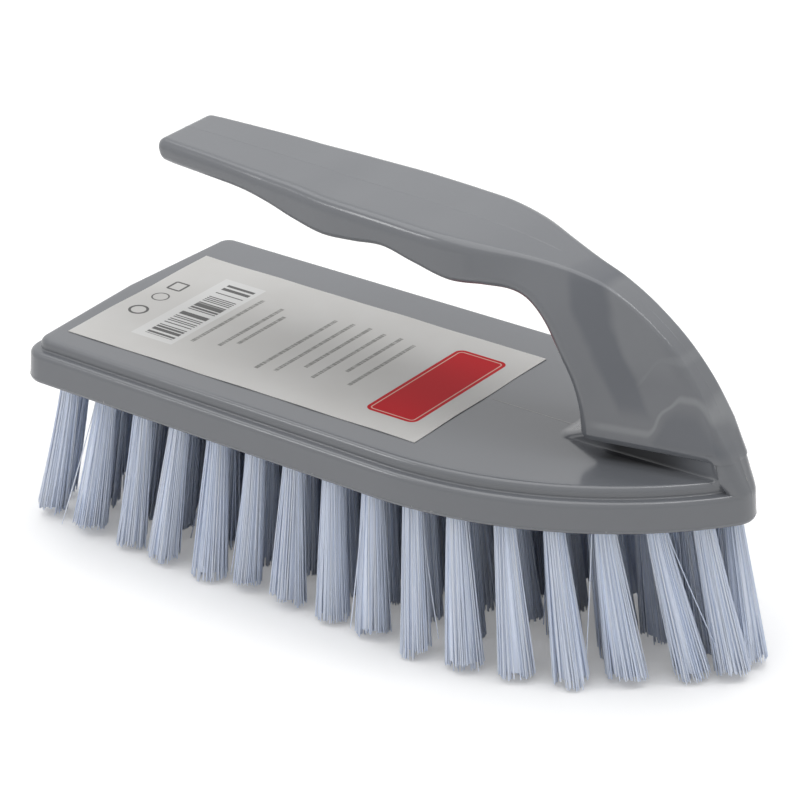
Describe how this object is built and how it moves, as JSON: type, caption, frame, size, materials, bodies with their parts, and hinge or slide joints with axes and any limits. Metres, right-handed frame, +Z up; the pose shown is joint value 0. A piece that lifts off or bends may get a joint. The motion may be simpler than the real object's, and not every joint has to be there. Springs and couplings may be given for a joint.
{
  "type": "hand brush",
  "caption": "Iron-shaped scrubbing brush: pointed grey block, finger-grooved handle rising from the nose, and fanned bristle tufts below.",
  "frame": {"origin": "middle of the brush's box in X and Y, on the plane that the bristle tips stand on", "axes": "+X from the blunt rear to the nose, +Y across the block, +Z up through the handle"},
  "size_m": [0.155, 0.0674, 0.0775],
  "materials": {
    "moulding": "satin-gloss polypropylene with faint sink marks",
    "label": "coated paper with a satin face",
    "bristle": "translucent drawn filament"
  },
  "bodies": {
    "root": {"body": "moulding", "label": "label", "tuft_row_01": "bristle", "tuft_row_02": "bristle", "tuft_row_03": "bristle", "tuft_row_04": "bristle", "tuft_row_05": "bristle", "tuft_row_06": "bristle", "tuft_row_07": "bristle", "tuft_row_08": "bristle", "tuft_row_09": "bristle", "tuft_row_10": "bristle", "tuft_row_11": "bristle", "tuft_row_12": "bristle", "tuft_row_13": "bristle", "tuft_row_14": "bristle", "tuft_row_15": "bristle", "tuft_row_16": "bristle"}
  },
  "joints": []
}
